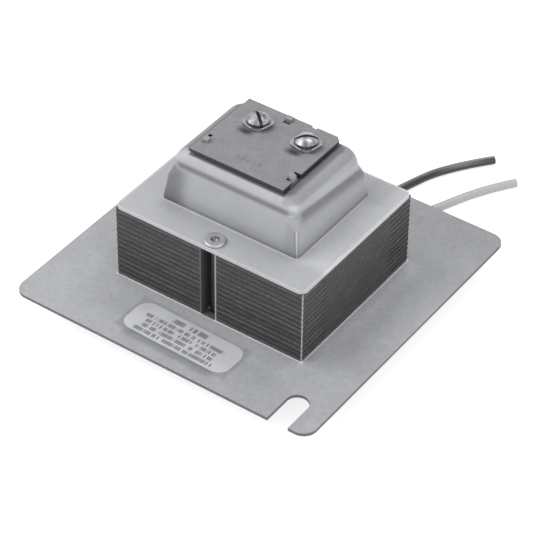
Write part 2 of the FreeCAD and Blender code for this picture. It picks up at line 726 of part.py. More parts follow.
def terminal_board():
    body = new_body("terminal_board", BOARD_X, BOARD_Y, BOARD_BOTTOM)
    blank = new_sketch(body, "board_blank")
    half_x, half_y = "(0.5 * board_length)", "(0.5 * board_width)"
    rectangle(blank, half_x, half_y)
    pad(body, blank, "board_thickness")
    openings = new_sketch(body, "board_openings")
    for side in (-1, 1):
        x = f"(terminal_offset_x + {side} * 0.5 * terminal_spacing)"
        circle(openings, "screw_radius + screw_hole_clearance", x, "terminal_offset_y")
    slot_half = "(0.5 * lug_width + lug_clearance)"
    front, rear = f"side_lug_y - {slot_half}", f"side_lug_y + {slot_half} + lug_slot_spare"
    near, far = f"{LEFT_LUG} - lug_clearance", f"{LEFT_LUG} + bell_wall + lug_clearance"
    board_opening(openings, near, far, front, rear)
    near, far = f"{ROOF_WINDOW_REAR} - 0.5 * lug_slot_spare", f"{ROOF_WINDOW_REAR} + bell_wall + lug_clearance"
    board_opening(openings, f"rear_lug_x - {slot_half}", f"rear_lug_x + {slot_half}", near, far)
    cut_up(body, openings, "board_thickness")
    edge_notches = new_sketch(body, "board_edge_notches")
    near, far = f"{RIGHT_LUG} - bell_wall - lug_reach - lug_clearance", "board_offset_x + 0.6 * board_length"
    board_opening(edge_notches, near, far, front, rear)
    rectangle(edge_notches, "(0.5 * board_notch_width)", "board_notch_depth", "board_notch_x", half_y)
    cut_up(body, edge_notches, "board_thickness")
    corner_x, corner_y = value(half_x), value(half_y)
    chamfer(
        body,
        "board_corner_chamfer",
        lambda edge: upright(edge) and abs(edge.CenterOfMass.x - corner_x) < 0.01
        and abs(edge.CenterOfMass.y - corner_y) < 0.01,
    )


# Terminals: a screw through a clamp washer and the board into a tapped strap.


def terminal_screw(name, side, angle):
    body = new_body(f"terminal_screw_{name}", terminal_x(side), TERMINAL_Y, WASHER_TOP, angle)
    profile = new_sketch(body, f"screw_{name}_profile", "XZ_Plane")
    crown = "(screw_head_height - screw_head_rim)"
    dome_radius = f"((screw_head_radius ^ 2 + {crown} ^ 2) / (2 * {crown}))"
    corners = [
        ("0", "-screw_length"),
        ("screw_radius - screw_point_chamfer", "-screw_length"),
        ("screw_radius", "screw_point_chamfer - screw_length"),
        ("screw_radius", "0"),
        ("screw_head_radius", "0"),
        ("screw_head_radius", "screw_head_rim"),
        ("0", "screw_head_height"),
    ]
    outline(profile, corners, {5: ("0", f"screw_head_height - {dome_radius}", 1)})
    revolve(body, profile)
    slot = new_sketch(body, f"screw_{name}_slot", offset="screw_head_height - screw_slot_depth")
    rectangle(slot, "(1.2 * screw_head_radius)", "(0.5 * screw_slot_width)")
    cut_up(body, slot, "2 * screw_slot_depth")


def clamp_washer(name, side, angle):
    body = new_body(f"clamp_washer_{name}", terminal_x(side), TERMINAL_Y, BOARD_TOP, angle)
    base = new_sketch(body, f"washer_{name}_base")
    rectangle(base, "(0.5 * washer_size)", "(0.5 * washer_size)")
    pad(body, base, "washer_thickness")
    half = value("0.5 * washer_size")
    fillet(body, "washer_corner_radius", lambda edge: upright(edge) and at_corner(edge, half, half))
    hole = new_sketch(body, f"washer_{name}_hole")
    circle(hole, "washer_hole_radius")
    cut_up(body, hole, "washer_thickness")
    ear = new_sketch(body, f"washer_{name}_ear", "XZ_Plane")
    out, lift = "0.5 * washer_size", "washer_thickness + washer_ear_height"
    wall = "washer_ear_wall"
    corners = [
        (f"{out} - {wall}", "0.5 * washer_thickness"),
        (out, "0"),
        (f"{out} + washer_ear_lean", lift),
        (f"{out} + washer_ear_lean - {wall}", lift),
    ]
    outline(ear, corners)
    first_ear = pad(body, ear, "washer_ear_width", both_ways=True)
    doc.recompute()
    ears = body.newObject("PartDesign::PolarPattern", f"washer_{name}_ears")
    ears.Originals = [first_ear]
    ears.Axis = (base, ["N_Axis"])
    ears.Reversed = True
    ears.Angle = 90
    ears.Occurrences = 2
    body.Tip = ears


def terminal_strap(name, side):
    """A tapped plate beneath the board, with a tail bent down for the secondary wire."""
    body = new_body(f"terminal_strap_{name}", terminal_x(side), TERMINAL_Y, BOARD_BOTTOM)
    plate = new_sketch(body, f"strap_{name}_plate", offset="-strap_thickness")
    half = "0.5 * strap_length"
    corners = [(f"-{half}", "-strap_front"), (half, "-strap_front"), (half, STRAP_REAR), (f"-{half}", STRAP_REAR)]
    outline(plate, corners)
    pad(body, plate, "strap_thickness")
    tail = new_sketch(body, f"strap_{name}_tail", offset="-strap_tail_drop")
    near, far = f"{STRAP_REAR} - strap_thickness", STRAP_REAR
    width = "0.5 * strap_tail_width"
    outline(tail, [(f"-{width}", near), (width, near), (width, far), (f"-{width}", far)])
    pad(body, tail, "strap_tail_drop")
    tapped = new_sketch(body, f"strap_{name}_tapping", offset="-2 * strap_thickness")
    circle(tapped, "screw_radius + screw_thread_clearance")
    cut_up(body, tapped, "3 * strap_thickness")


# Round wires: straight runs joined by arcs that are as large as the runs beside them allow.

ARC_SHARE = 0.45


def wire_path(points):
    edges = []
    radii = []
    start = points[0]
    for before, corner, after in zip(points, points[1:], points[2:]):
        into, out = corner - before, after - corner
        tangent = ARC_SHARE * min(into.Length, out.Length)
        turn = into.getAngle(out)
        radii.append(tangent / math.tan(turn / 2))
        into.normalize()
        out.normalize()
        arc_start, arc_end = corner - into * tangent, corner + out * tangent
        middle = corner + (out - into).normalize() * (radii[-1] / math.cos(turn / 2) - radii[-1])
        edges.append(Part.LineSegment(start, arc_start).toShape())
        edges.append(Part.Arc(arc_start, middle, arc_end).toShape())
        start = arc_end
    edges.append(Part.LineSegment(start, points[-1]).toShape())
    return Part.Wire(edges), radii


def round_wire(label, points, diameter, place):
    """A round wire along the points, which are measured from its placement."""
    path, radii = wire_path([V(*point) for point in points])
    first = V(*points[0])
    heading = (V(*points[1]) - first).normalize()
    section = Part.Wire(Part.Circle(first, heading, diameter / 2).toShape())
    solid = path.makePipeShell([section], True, False)
    wire = doc.addObject("Part::Feature", label)
    wire.Label = label
    wire.Shape = solid
    wire.Placement = FreeCAD.Placement(place, FreeCAD.Rotation())
    expected = math.pi * diameter ** 2 / 4 * path.Length
    print(f"{label}: length {path.Length:.1f} mm, radii {[round(radius, 1) for radius in radii]},"
          f" volume {solid.Volume / expected:.4f} of section times length")


def secondary_wire(name, side):
    """Rises straight from the secondary's end, through the slits in the paper, to the strap's tail."""
    radius = "0.5 * wire_diameter"
    y = f"{WINDING_REAR} + {radius}"
    foot = f"{COIL_Z} + {BORE_HALF_Z} + {TUBE_OUT} + {radius}"
    body = new_body(f"secondary_wire_{name}", terminal_x(side), y, foot)
    section = new_sketch(body, f"wire_{name}_section")
    circle(section, radius)
    pad(body, section, f"{ROOF_TOP} - bell_wall - wire_end_gap - ({foot})")


LEAD_Z = f"({COIL_Z} - {BORE_HALF_Z} - 0.5 * ({INSULATION_OUT} + {PRIMARY_OUT}))"


def lead_sleeve(name, x):
    body = new_body(f"lead_sleeve_{name}", x, WINDING_REAR, LEAD_Z)
    ring = new_sketch(body, f"sleeve_{name}_section", "XZ_Plane")
    circle(ring, "0.5 * lead_diameter + sleeve_wall")
    circle(ring, "0.5 * lead_diameter + wire_clearance")
    pad(body, ring, "sleeve_length", backwards=True)


# Each lead's route from the end of its winding. The places are (x, y, z), with z above the surface
# that the coil's underside rests on for the stretch that lies there.


def lead(name, x, route):
    """The lead runs straight out of its sleeve and then down to the surface."""
    radius = value("0.5 * lead_diameter")
    exit_z = value(LEAD_Z)
    start_y = value(WINDING_REAR)
    floor_z = value(COIL_BOTTOM) + radius
    straight = value("sleeve_length + lead_straight_run")
    points = [(value(x), start_y, exit_z), (value(x), start_y + straight, exit_z)]
    points += [(route_x, route_y, floor_z) for route_x, route_y in route]
    round_wire(f"lead_{name}", points, value("lead_diameter"), V(0, 0, 0))


BLACK_ROUTE = [(0.9, 44.0), (7.6, 62.6), (13.1, 81.0), (24.3, 94.5)]
WHITE_ROUTE = [(14.1, 43.7), (22.0, 61.4), (29.4, 79.2), (36.1, 88.4)]


mounting_plate()
nameplate()
core()
core_rivet("front", -1)
core_rivet("rear", 1)
coil()
top_bell()
terminal_board()
for terminal, hand, slot_turn, washer_turn in (
    ("left", -1, "left_slot_angle", "left_washer_angle"),
    ("right", 1, "right_slot_angle", "right_washer_angle"),
):
    terminal_screw(terminal, hand, slot_turn)
    clamp_washer(terminal, hand, washer_turn)
    terminal_strap(terminal, hand)
    secondary_wire(terminal, hand)
lead_sleeve("black", "black_lead_x")
lead_sleeve("white", "white_lead_x")
lead("black", "black_lead_x", BLACK_ROUTE)
lead("white", "white_lead_x", WHITE_ROUTE)

doc.recompute()


def is_part(item):
    """The pieces are the bodies, the E laminations, the groups of I pieces and the wires."""
    if item.TypeId in ("PartDesign::Body", "Part::Compound", "Part::Feature"):
        return True
    return item.TypeId == "Part::Extrusion" and item.Label.startswith("e_lamination")


failed = [item.Name for item in doc.Objects if {"Invalid", "Error"} & set(item.State)]
pieces = [item for item in doc.Objects if is_part(item)]
failed += [item.Label for item in pieces if item.Shape.isNull() or not item.Shape.isValid()]
if failed:
    raise RuntimeError("these objects failed: " + ", ".join(failed))

os.makedirs("parts", exist_ok=True)
for piece in pieces:
    piece.Shape.exportStep(f"parts/{piece.Label}.step")
print(len(pieces), "nodes,", sum(len(piece.Shape.Solids) for piece in pieces), "solids")
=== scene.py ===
import math

import bpy
from mathutils import Matrix, Vector


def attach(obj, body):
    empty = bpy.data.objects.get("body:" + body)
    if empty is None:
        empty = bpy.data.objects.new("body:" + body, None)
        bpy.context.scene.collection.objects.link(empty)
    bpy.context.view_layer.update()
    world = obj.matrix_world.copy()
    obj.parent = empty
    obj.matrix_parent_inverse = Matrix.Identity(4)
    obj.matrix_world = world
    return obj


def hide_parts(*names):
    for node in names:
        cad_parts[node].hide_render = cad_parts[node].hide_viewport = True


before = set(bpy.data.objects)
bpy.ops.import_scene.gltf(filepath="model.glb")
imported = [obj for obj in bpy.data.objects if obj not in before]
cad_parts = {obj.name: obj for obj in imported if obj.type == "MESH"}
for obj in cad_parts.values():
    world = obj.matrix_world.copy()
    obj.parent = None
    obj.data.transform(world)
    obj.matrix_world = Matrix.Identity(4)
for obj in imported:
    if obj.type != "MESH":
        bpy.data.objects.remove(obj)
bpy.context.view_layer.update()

MM = 0.001
bpy.context.scene.view_settings.view_transform = "Standard"


def box_of(*names):
    """The lowest and the highest corner of these CAD pieces together, in millimetres."""
    corners = []
    for name in names:
        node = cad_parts[name]
        corners += [node.matrix_world @ Vector(corner) / MM for corner in node.bound_box]
    return [[pick(corner[axis] for corner in corners) for axis in range(3)] for pick in (min, max)]


def middle_of(name):
    """The middle of a CAD piece seen from above, in millimetres."""
    low, high = box_of(name)
    return (low[0] + high[0]) / 2, (low[1] + high[1]) / 2


# Places on the part: read from the frame's pieces where they show them, and else named here. Lengths are in
# millimetres, turns in degrees, and the label's lean is a slope.
SIDES = ("left", "right")
E_LAYERS = [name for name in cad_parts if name.startswith("e_lamination")]
(CORE_LEFT, CORE_FRONT, CORE_FOOT), (CORE_RIGHT, CORE_REAR, CORE_TOP) = box_of(*E_LAYERS)
LAYER = (CORE_TOP - CORE_FOOT) / len(E_LAYERS)
NOTCH_X = (CORE_LEFT + CORE_RIGHT) / 2
NOTCH_HALF = 2.45
BELL_SHEET = 0.8
FLANGE_TOP = CORE_TOP + BELL_SHEET
BELL_FRONT = -18.0
BEND_HEIGHT = 13.7
BOARD_LOW, BOARD_HIGH = box_of("terminal_board")
BOARD_FRONT = BOARD_LOW[1]
BOARD_TOP = BOARD_HIGH[2]
SCREW_PLACES = {side: middle_of(f"terminal_screw_{side}") for side in SIDES}
SCREW_TURNS = {"left": -40, "right": 38.6}
SLOT_HALF = 0.52
RIVET_PLACES = [middle_of(f"core_rivet_{end}") for end in ("front", "rear")]
RIVET_DIMPLE = 1.3
WASHER_MIDDLE = 3.8
LABEL_MIDDLE = (0.35, -40.45)
LABEL_HALF = (19.05, 6.35)
LABEL_LEAN = 0.0244
PLATE_TOP = 1.2
FLOOR = -9.1

# Camera: a long lens above the plate's right front corner, fitted to the photo.
PHOTO_WIDTH = 533
FOCAL_PIXELS = 2428.4
SENSOR_WIDTH = 36
AZIMUTH = math.radians(35.05)
ELEVATION = math.radians(40.57)
ROLL = math.radians(0.67)
DISTANCE = 0.7297
SHIFT_RIGHT = 1.01 * MM
SHIFT_UP = -0.82 * MM
TARGET = Vector((0, 0, PLATE_TOP * MM))
FAR_CLIP = 20


def make_camera():
    back = Vector((
        math.sin(AZIMUTH) * math.cos(ELEVATION),
        -math.cos(AZIMUTH) * math.cos(ELEVATION),
        math.sin(ELEVATION),
    ))
    level = Vector((math.cos(AZIMUTH), math.sin(AZIMUTH), 0))
    upright = back.cross(level)
    right = level * math.cos(ROLL) + upright * math.sin(ROLL)
    up = upright * math.cos(ROLL) - level * math.sin(ROLL)
    data = bpy.data.cameras.new("camera")
    data.sensor_width = SENSOR_WIDTH
    data.lens = SENSOR_WIDTH * FOCAL_PIXELS / PHOTO_WIDTH
    data.clip_end = FAR_CLIP
    matrix = Matrix((right, up, back)).transposed().to_4x4()
    matrix.translation = TARGET + back * DISTANCE + right * SHIFT_RIGHT + up * SHIFT_UP
    camera = bpy.data.objects.new("camera", data)
    camera.matrix_world = matrix
    bpy.context.scene.collection.objects.link(camera)
    bpy.context.scene.camera = camera


make_camera()

# Leads: the same routes as the solids, as smooth curves. Places are in millimetres, and one without a height
# lies on the bench. Lengths are in metres.
LEAD_DIAMETER = 2.8
LEAD_REST = FLOOR + LEAD_DIAMETER / 2
LEAD_ROUTES = {
    "black": [(-1.0, 11.12, -6.6), (-1.0, 25.62, -6.6), (0.9, 44.0), (7.6, 62.6), (13.1, 81.0), (24.3, 94.5)],
    "white": [(9.0, 11.12, -6.6), (9.0, 25.62, -6.6), (14.1, 43.7), (22.0, 61.4), (29.4, 79.2), (36.1, 88.4)],
}


def smooth_curve(name, points, diameter):
    """A round curve. Each point's radius gives its thickness, because the curve's box counts that radius."""
    data = bpy.data.curves.new(name, "CURVE")
    data.dimensions = "3D"
    data.bevel_depth = 1.0
    data.bevel_resolution = 6
    data.resolution_u = 16
    data.use_fill_caps = True
    spline = data.splines.new("NURBS")
    spline.points.add(len(points) - 1)
    for point, place in zip(spline.points, points):
        point.co = (*(Vector(place) * MM), 1)
        point.radius = diameter / 2 * MM
    spline.order_u = 3
    spline.use_endpoint_u = True
    curve = bpy.data.objects.new(name, data)
    bpy.context.scene.collection.objects.link(curve)
    return curve


def lead(colour):
    points = [place if len(place) == 3 else (*place, LEAD_REST) for place in LEAD_ROUTES[colour]]
    curve = smooth_curve(f"{colour}_lead", points, LEAD_DIAMETER)
    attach(curve, "root")
    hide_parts(f"lead_{colour}")
    return curve


leads = {colour: lead(colour) for colour in LEAD_ROUTES}

# Materials. Colours are linear, and places in the textures are the object's own, in millimetres.
STEEL_TINT = (0.985, 1.0, 1.045)
PLAIN_TINT = (1.0, 1.0, 1.0)
PLATE_LEVEL = 0.41
BELL_LEVEL = 0.44
RIVET_LEVEL = 0.46
WASHER_LEVEL = 0.38
SCREW_LEVEL = 0.38
LABEL_LEVEL = 0.59
BOARD_LEVEL = 0.25


class Nodes:
    """A material under construction, with short ways to add its nodes."""

    def __init__(self, name):
        self.material = bpy.data.materials.new(name)
        self.material.use_nodes = True
        self.tree = self.material.node_tree
        self.shader = self.tree.nodes["Principled BSDF"]
        source = self.tree.nodes.new("ShaderNodeTexCoord")
        in_mm = {0: source.outputs["Object"], "Scale": 1 / MM}
        self.place = self.add("VectorMath", in_mm, operation="SCALE").outputs[0]
        self.x, self.y, self.z = self.add("SeparateXYZ", {0: self.place}).outputs
        self.facing = self.add("SeparateXYZ", {0: source.outputs["Normal"]}).outputs

    def add(self, kind, inputs, **settings):
        node = self.tree.nodes.new(f"ShaderNode{kind}")
        for name, setting in settings.items():
            setattr(node, name, setting)
        for key, source in inputs.items():
            self.feed(source, node.inputs[key])
        return node

    def feed(self, source, socket):
        """Links another node's output, or sets a plain value."""
        if isinstance(source, bpy.types.NodeSocket):
            self.tree.links.new(source, socket)
        else:
            socket.default_value = source

    def set(self, **values):
        for name, source in values.items():
            self.feed(source, self.shader.inputs[name.replace("_", " ").title()])

    def math(self, operation, first, second=0.0):
        return self.add("Math", {0: first, 1: second}, operation=operation).outputs[0]

    def minus(self, first, second):
        return self.math("SUBTRACT", first, second)

    def size(self, source):
        return self.math("ABSOLUTE", source)

    def product(self, first, *rest):
        for factor in rest:
            first = self.math("MULTIPLY", first, factor)
        return first

    def total(self, first, *rest):
        for term in rest:
            first = self.math("ADD", first, term)
        return first

    def noise(self, scale, detail, roughness, place=None):
        node = self.add("TexNoise", {"Vector": place or self.place, "Scale": scale, "Detail": detail,
                                     "Roughness": roughness})
        return node.outputs["Fac"]

    def stretched(self, x, y, z):
        return self.add("Mapping", {"Vector": self.place, "Scale": (x, y, z)}).outputs["Vector"]

    def chance(self, number):
        """A fixed random number from 0 to 1 for each whole number."""
        return self.add("TexWhiteNoise", {"W": number}, noise_dimensions="1D").outputs["Value"]

    def remap(self, source, low, high, new_low=0.0, new_high=1.0):
        """Goes smoothly from one value to another while the source goes from low to high."""
        node = self.add("MapRange", {"Value": source, "From Min": low, "From Max": high, "To Min": new_low,
                                     "To Max": new_high}, interpolation_type="SMOOTHSTEP")
        return node.outputs["Result"]

    def hump(self, source, middle, width):
        """1 at the middle, falling off smoothly on both sides."""
        part = self.math("DIVIDE", self.minus(source, middle), width)
        return self.math("EXPONENT", self.product(part, part, -1.0))

    def within(self, source, middle, half, edge):
        """1 within half of the middle, 0 outside, with a soft edge."""
        away = self.size(self.minus(source, middle))
        return self.remap(away, half - edge, half + edge, 1.0, 0.0)

    def round_mask(self, place, radius):
        """1 within a circle about an upright axis."""
        across = self.minus(self.x, place[0])
        along = self.minus(self.y, place[1])
        away = self.math("SQRT", self.total(self.product(across, across), self.product(along, along)))
        return self.remap(away, radius - 0.1, radius + 0.1, 1.0, 0.0)

    def beside_core(self):
        """The distance from the core's outline, below 0 within it."""
        sideways = self.math("MAXIMUM", self.minus(CORE_LEFT, self.x), self.minus(self.x, CORE_RIGHT))
        lengthways = self.math("MAXIMUM", self.minus(CORE_FRONT, self.y), self.minus(self.y, CORE_REAR))
        return self.math("MAXIMUM", sideways, lengthways)

    def up_label(self):
        """The y of a place, turned with the label, which lies a little askew."""
        return self.total(self.y, self.product(self.x, LABEL_LEAN))

    def turned_to(self, x, y, z):
        """How far a face looks in this direction: 1 straight at it, 0 at right angles."""
        along, across, upward = self.facing
        return self.total(self.product(along, x), self.product(across, y), self.product(upward, z))

    def varied(self, tone, source, low, high, least, most):
        """The tone times a factor that goes from least to most with the source."""
        return self.product(tone, self.remap(source, low, high, least, most))

    def patched(self, tone, *patches):
        """The tone times each patch's factor where the patch's mask is 1."""
        for mask, factor in patches:
            tone = self.varied(tone, mask, 0.0, 1.0, 1.0, factor)
        return tone

    def mixed(self, mask, first, second):
        return self.add("Mix", {"Factor": mask, 2: first, 3: second}, data_type="FLOAT").outputs[0]

    def shade(self, tone, tint=PLAIN_TINT):
        return self.add("VectorMath", {0: tint, "Scale": tone}, operation="SCALE").outputs[0]

    def bump(self, height, strength, distance, before=None):
        inputs = {"Height": height, "Strength": strength, "Distance": distance * MM}
        if before is not None:
            inputs["Normal"] = before
        return self.add("Bump", inputs).outputs["Normal"]


def worn_sheet(kit, level, cloud_share, mottle_share):
    """Dull plated sheet: soft cloudy patches, a finer mottle and a rolled grain."""
    cloud = kit.noise(0.06, 4, 0.6)
    mottle = kit.noise(0.55, 3, 0.6)
    grain = kit.noise(2.2, 3, 0.7)
    tone = kit.varied(level, cloud, 0.3, 0.7, 1 - cloud_share, 1 + cloud_share)
    tone = kit.varied(tone, mottle, 0.25, 0.75, 1 - mottle_share, 1 + mottle_share)
    tone = kit.varied(tone, grain, 0.2, 0.8, 1 - mottle_share, 1 + mottle_share)
    kit.set(normal=kit.bump(mottle, 0.15, 0.05, kit.bump(grain, 0.2, 0.02)))
    return tone, grain


def plate_steel():
    """The plate, with painted shade round the label and behind, and painted light before the core and at its
    right foot.
    """
    kit = Nodes("plate_steel")
    tone, grain = worn_sheet(kit, PLATE_LEVEL, 0.04, 0.06)
    (middle_x, middle_y), (half_x, half_y) = LABEL_MIDDLE, LABEL_HALF
    upright = kit.up_label()
    beside_x = kit.minus(kit.size(kit.minus(kit.x, middle_x)), half_x)
    beside_y = kit.minus(kit.size(kit.minus(upright, middle_y)), half_y)
    # Painted shade round the label, and a painted shadow below it.
    shade_round_label = kit.remap(kit.math("MAXIMUM", beside_x, beside_y), 0.0, 2.0, 1.0, 0.0)
    label_foot = middle_y - half_y
    shadow_below_label = kit.product(kit.remap(upright, label_foot + 1.0, label_foot - 0.5),
                              kit.remap(beside_x, 0.0, -6.0),
                              kit.remap(upright, label_foot - 4.0, label_foot - 1.5))
    # Painted light before the core, at its right foot and to its right; painted shade behind and at the front
    # right.
    light_before_core = kit.product(kit.within(kit.y, -32.0, 6.0, 4.0), kit.within(kit.x, 2.0, 33.0, 4.0))
    light_at_right_foot = kit.product(kit.hump(kit.x, 35.5, 4.5), kit.within(kit.y, 0.0, 26.0, 4.0))
    light_at_right_middle = kit.product(kit.remap(kit.x, 34.0, 40.0), kit.hump(kit.y, 2.0, 18.0))
    rear = kit.remap(kit.y, 30.0, 50.0)
    front_right_shade = kit.product(kit.hump(kit.x, 34.0, 14.0), kit.remap(kit.y, -36.0, -44.0))
    # Painted shade in the notch.
    shade_in_notch = kit.product(kit.within(kit.x, NOTCH_X, NOTCH_HALF, 0.2), kit.within(kit.y, -27.5, 1.6, 0.2))
    specks = kit.remap(kit.noise(0.8, 2, 0.5), 0.68, 0.76)
    # A painted highlight along the core's foot, and painted shade on the plate's cut edges.
    core_foot_highlight = kit.remap(kit.beside_core(), 0.3, 0.7, 1.0, 0.0)
    shaded_edge = kit.remap(kit.facing[2], 0.8, 0.4)
    tone = kit.patched(
        tone, (shade_round_label, 0.8), (shadow_below_label, 0.72), (light_before_core, 1.2), (light_at_right_foot, 1.28), (light_at_right_middle, 1.16),
        (rear, 0.82), (front_right_shade, 0.93), (shade_in_notch, 0.16), (specks, 0.75), (core_foot_highlight, 1.6),
        (shaded_edge, 0.35),
    )
    kit.set(base_color=kit.shade(tone, STEEL_TINT), metallic=0.2)
    kit.set(roughness=kit.remap(grain, 0.3, 0.7, 0.5, 0.64))
    return kit.material


def bend_light_masks(kit, height, sideways):
    """Masks for the painted shade of a dark band where the walls start to bend, and for the painted highlight
    of a line above it.
    """
    along, across, upward = kit.facing
    rearward = kit.product(kit.minus(kit.y, BELL_FRONT), sideways)
    drop = kit.total(kit.product(rearward, 0.09), kit.product(sideways, 0.3))
    above = kit.total(kit.minus(height, BEND_HEIGHT), drop)
    spread = kit.mixed(kit.product(sideways, kit.remap(above, 0.3, -0.3)), 1.05, 3.2)
    band = kit.hump(kit.math("DIVIDE", above, spread), 0.0, 1.0)
    width = kit.size(along)
    share = kit.math("DIVIDE", width, kit.total(width, kit.size(across), 0.001))
    corner = kit.hump(share, 0.5, 0.28)
    bend_shade = kit.product(band, kit.remap(corner, 0.0, 1.0, 1.0, 0.4))
    shoulder_highlight = kit.product(kit.hump(above, 2.2, 1.2), kit.remap(upward, 1.0, 0.9))
    return bend_shade, shoulder_highlight


def bell_steel():
    """Drawn sheet: a painted highlight on the shoulders, over a painted dark band where the walls start to
    bend, and painted shade at the foot.
    """
    kit = Nodes("bell_steel")
    tone, grain = worn_sheet(kit, BELL_LEVEL, 0.03, 0.03)
    height = kit.minus(kit.z, FLANGE_TOP)
    along, across, upward = kit.facing
    wall = kit.remap(height, 0.1, 0.4)
    sideways = kit.remap(kit.minus(kit.size(along), kit.size(across)), -0.3, 0.3)
    bend_shade, shoulder_highlight = bend_light_masks(kit, height, sideways)
    # Painted shade on the top, on the lower wall and at the foot, and painted shade beside each corner with a
    # painted glint along it.
    roof_shade = kit.product(kit.remap(upward, 0.9, 0.99), kit.remap(height, 10.0, 12.0))
    lower_wall_shade = kit.product(kit.remap(height, 0.5, 6.0, 1.0, 0.0), wall)
    foot_shade = kit.product(kit.remap(height, 0.2, 2.2, 1.0, 0.0), wall)
    turned = kit.minus(along, across)
    low = kit.product(kit.remap(height, 12.5, 9.5), wall)
    corner_shade = kit.product(kit.hump(turned, 1.28, 0.1), low)
    corner_glint = kit.product(kit.hump(turned, 1.402, 0.02), low)
    # Painted shade on the left of the top, on the front wall's left, beside the right front corner's foot and
    # on the top under the board.
    roof_left_shade = kit.product(kit.remap(kit.x, -15.3, -17.3), kit.remap(height, 13.0, 15.0),
                            kit.remap(kit.y, -14.5, -11.0))
    front_left_shade = kit.product(kit.remap(kit.x, -12.0, -21.0), kit.remap(across, -0.3, -0.8),
                             kit.remap(height, 14.0, 11.0), wall)
    shade_by_corner = kit.product(kit.hump(kit.x, 22.0, 2.4), kit.remap(across, -0.8, -0.95), low)
    shade_under_board = kit.product(kit.remap(height, 16.0, 16.8), kit.within(kit.x, 0.4, 16.8, 0.25),
                              kit.within(kit.y, 0.1, 14.7, 0.25))
    tone = kit.patched(
        tone, (kit.product(bend_shade, wall), 0.48), (shoulder_highlight, 1.08), (roof_shade, 0.56), (lower_wall_shade, 0.82),
        (foot_shade, 0.68), (corner_shade, 0.8), (corner_glint, 1.9), (roof_left_shade, 0.6), (front_left_shade, 0.5),
        (shade_by_corner, 0.84), (shade_under_board, 0.3),
    )
    lugs = kit.remap(kit.z, BOARD_TOP - 0.6, BOARD_TOP - 0.4)
    tone = kit.mixed(lugs, tone, 0.3)
    flat = kit.remap(height, 0.3, 0.0)
    # Painted light at the flange's front right corner, painted shade at its back and on the right of the top,
    # a painted highlight near the front right corner's upper end, and a painted highlight along the flange's
    # outer edge.
    flange_corner_light = kit.product(flat, kit.remap(kit.x, 22.0, 27.0), kit.remap(kit.y, -22.0, -14.0))
    flange_rear_shade = kit.product(flat, kit.hump(kit.x, 27.1, 4.0), kit.remap(kit.y, 12.0, 18.0))
    roof_right_shade = kit.product(kit.remap(height, 15.0, 16.2), kit.remap(kit.x, 16.5, 18.0))
    highlight_spot = kit.product(kit.hump(kit.x, 21.0, 1.8), kit.hump(kit.y, -15.6, 1.8), kit.remap(height, 11.5, 13.0))
    rim_highlight = kit.product(kit.remap(kit.beside_core(), -0.55, -0.35), kit.remap(height, 0.5, 0.2))
    tone = kit.patched(
        tone, (flange_corner_light, 1.25), (flange_rear_shade, 0.82), (roof_right_shade, 0.76), (highlight_spot, 1.3), (rim_highlight, 1.22),
    )
    kit.set(base_color=kit.shade(tone, STEEL_TINT), metallic=0.15)
    kit.set(roughness=kit.remap(grain, 0.3, 0.7, 0.52, 0.66))
    return kit.material


def core_steel():
    """Varnished stamping edges: a pale line at every second joint, each with its own strength, and smears."""
    kit = Nodes("core_steel")
    pairs = kit.math("DIVIDE", kit.minus(kit.z, CORE_FOOT), 2 * LAYER)
    strength = kit.remap(kit.chance(kit.math("FLOOR", pairs)), 0.0, 1.0, 0.45, 1.0)
    part = kit.math("FRACT", pairs)
    pale = kit.hump(part, 0.4, 0.24)
    dark = kit.hump(part, 0.88, 0.13)
    smear = kit.noise(1, 3, 0.6, kit.stretched(0.14, 0.14, 1.4))
    fleck = kit.noise(1, 2, 0.6, kit.stretched(1.6, 1.6, 4.0))
    right_face = kit.remap(kit.facing[0], 0.8, 0.95)
    varnished = kit.product(right_face, kit.within(kit.y, -1.1, 16.4, 1.5))
    rear_end = kit.product(right_face, kit.remap(kit.y, 15.0, 16.5))
    clear = kit.patched(kit.remap(varnished, 0.0, 1.0, 1.0, 0.25), (rear_end, 0.6))
    lines = kit.product(pale, strength, clear, 0.065)
    tone = kit.total(0.012, lines, kit.remap(smear, 0.35, 0.65, 0.002, 0.032))
    tone = kit.varied(tone, fleck, 0.32, 0.68, 0.5, 1.5)
    tone = kit.patched(tone, (kit.product(dark, clear), 0.2))
    # A painted highlight along the stack's front right corner.
    corner = kit.product(kit.remap(kit.x, CORE_RIGHT - 0.45, CORE_RIGHT - 0.25),
                         kit.remap(kit.y, CORE_FRONT + 0.45, CORE_FRONT + 0.25))
    tone = kit.mixed(corner, tone, 0.42)
    notch_walls = kit.product(kit.within(kit.x, NOTCH_X, NOTCH_HALF + 0.1, 0.05),
                              kit.remap(kit.y, CORE_FRONT + 0.1, CORE_FRONT + 0.3))
    tone = kit.mixed(notch_walls, tone, 0.09)
    front_skin = kit.remap(kit.y, CORE_FRONT + 0.3, CORE_FRONT + 0.1)
    # A painted highlight along each front edge of the notch, brighter on the right.
    for side, highlight_level in ((1, 0.4), (-1, 0.12)):
        notch_lip_highlight = kit.within(kit.x, NOTCH_X + side * (NOTCH_HALF + 0.25), 0.25, 0.06)
        tone = kit.mixed(kit.product(notch_lip_highlight, front_skin), tone, highlight_level)
    kit.set(base_color=kit.shade(tone), roughness=kit.remap(smear, 0.3, 0.7, 0.4, 0.6))
    kit.set(normal=kit.bump(kit.minus(pale, dark), 0.06, 0.05))
    return kit.material


